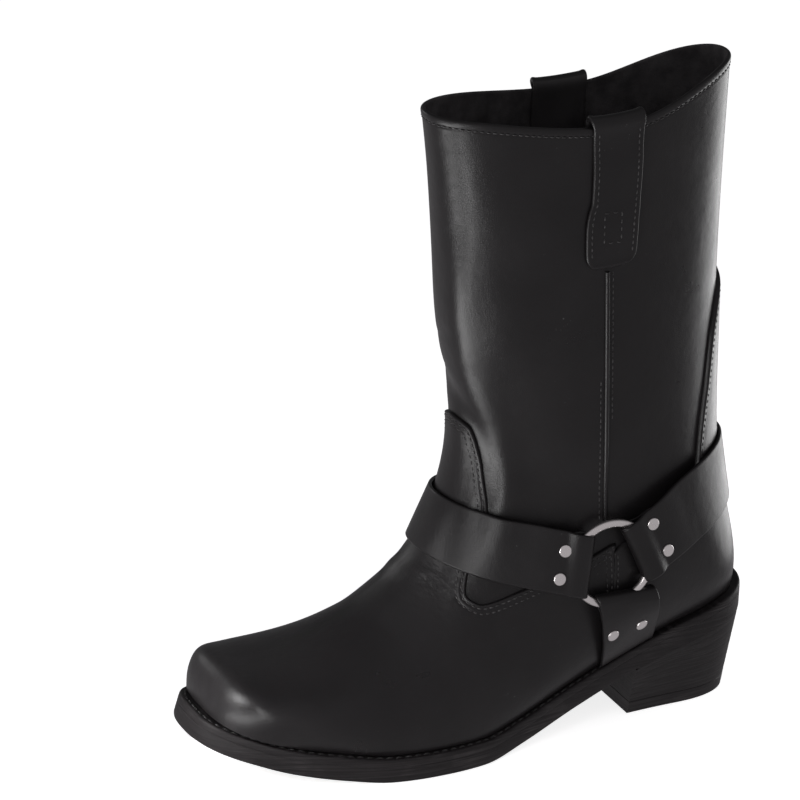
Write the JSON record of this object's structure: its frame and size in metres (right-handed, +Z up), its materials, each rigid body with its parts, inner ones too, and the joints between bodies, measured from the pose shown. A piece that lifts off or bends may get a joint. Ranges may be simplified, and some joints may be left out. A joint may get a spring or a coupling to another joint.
{
  "type": "motorcycle boot",
  "caption": "Black leather pull-on harness boot, left foot: hollow upper on a welted sole with block heel, ankle straps joined by steel rings, and pull loops at the collar.",
  "frame": {"origin": "middle of the footprint, on the floor", "axes": "+X to the toe, +Y to the wearer's left, +Z up"},
  "size_m": [0.3106, 0.1162, 0.3483],
  "materials": {
    "upper_leather": "satin, fine grain",
    "strap_leather": "satin, fine grain",
    "welt_leather": "waxed edge",
    "heel_stack": "stacked and inked",
    "sole_rubber": "matt",
    "insole_board": "matt",
    "nickel": "polished nickel plate"
  },
  "bodies": {
    "root": {"outsole": "sole_rubber", "heel_lift": "sole_rubber", "heel_block": "heel_stack", "welt": "welt_leather", "insole": "insole_board", "upper": "upper_leather", "vamp": "upper_leather", "heel_counter": "upper_leather", "strap_front": "strap_leather", "strap_back": "strap_leather", "sole_strap_left": "strap_leather", "sole_strap_right": "strap_leather", "pull_loop_left": "strap_leather", "pull_loop_right": "strap_leather", "side_piping_left": "strap_leather", "side_piping_right": "strap_leather", "ring_left": "nickel", "ring_right": "nickel", "rivet_left_1": "nickel", "rivet_left_2": "nickel", "rivet_left_3": "nickel", "rivet_left_4": "nickel", "rivet_left_5": "nickel", "rivet_left_6": "nickel", "rivet_right_1": "nickel", "rivet_right_2": "nickel", "rivet_right_3": "nickel", "rivet_right_4": "nickel", "rivet_right_5": "nickel", "rivet_right_6": "nickel"}
  },
  "joints": []
}
